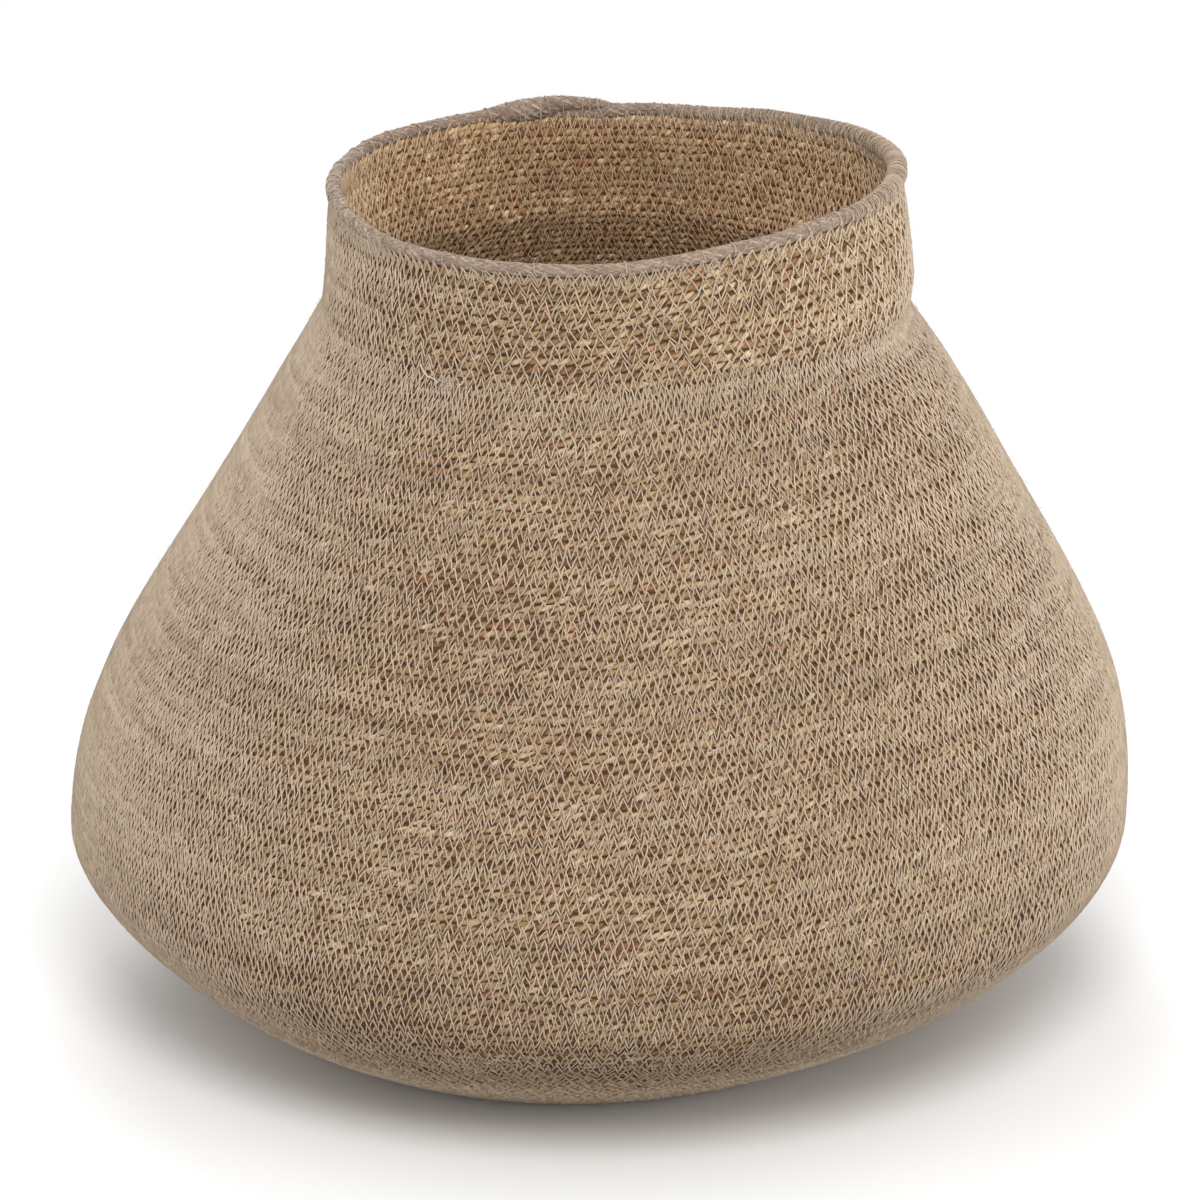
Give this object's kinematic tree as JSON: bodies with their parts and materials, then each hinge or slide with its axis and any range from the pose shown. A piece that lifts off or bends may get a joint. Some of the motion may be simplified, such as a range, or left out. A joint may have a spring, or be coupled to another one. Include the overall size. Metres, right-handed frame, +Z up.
{
  "type": "coiled jute vase",
  "caption": "Wide-bellied coiled and sewn jute and seagrass vase with a sloping shoulder, upright neck collar and thick corded rim; holds dry stems or small things.",
  "frame": {"origin": "centre of the flat foot, on the surface that the vase stands on", "axes": "+Z up through the mouth; the front of the picture is -Y and its right is +X"},
  "size_m": [0.3719, 0.3724, 0.3013],
  "materials": {
    "seagrass_rows": "matt twisted seagrass and jute cord, sewn with pale jute thread in a zigzag",
    "foot_rows": "matt twisted seagrass cord, a little darker where it meets the ground",
    "rim_jute": "matt grey-brown braided jute cord with short fuzz"
  },
  "bodies": {
    "root": {"base_panel": "foot_rows", "lower_wall": "seagrass_rows", "belly_turn": "seagrass_rows", "belly_wall": "seagrass_rows", "shoulder_wall": "seagrass_rows", "neck_collar": "seagrass_rows", "rim_cord": "rim_jute"}
  },
  "joints": []
}
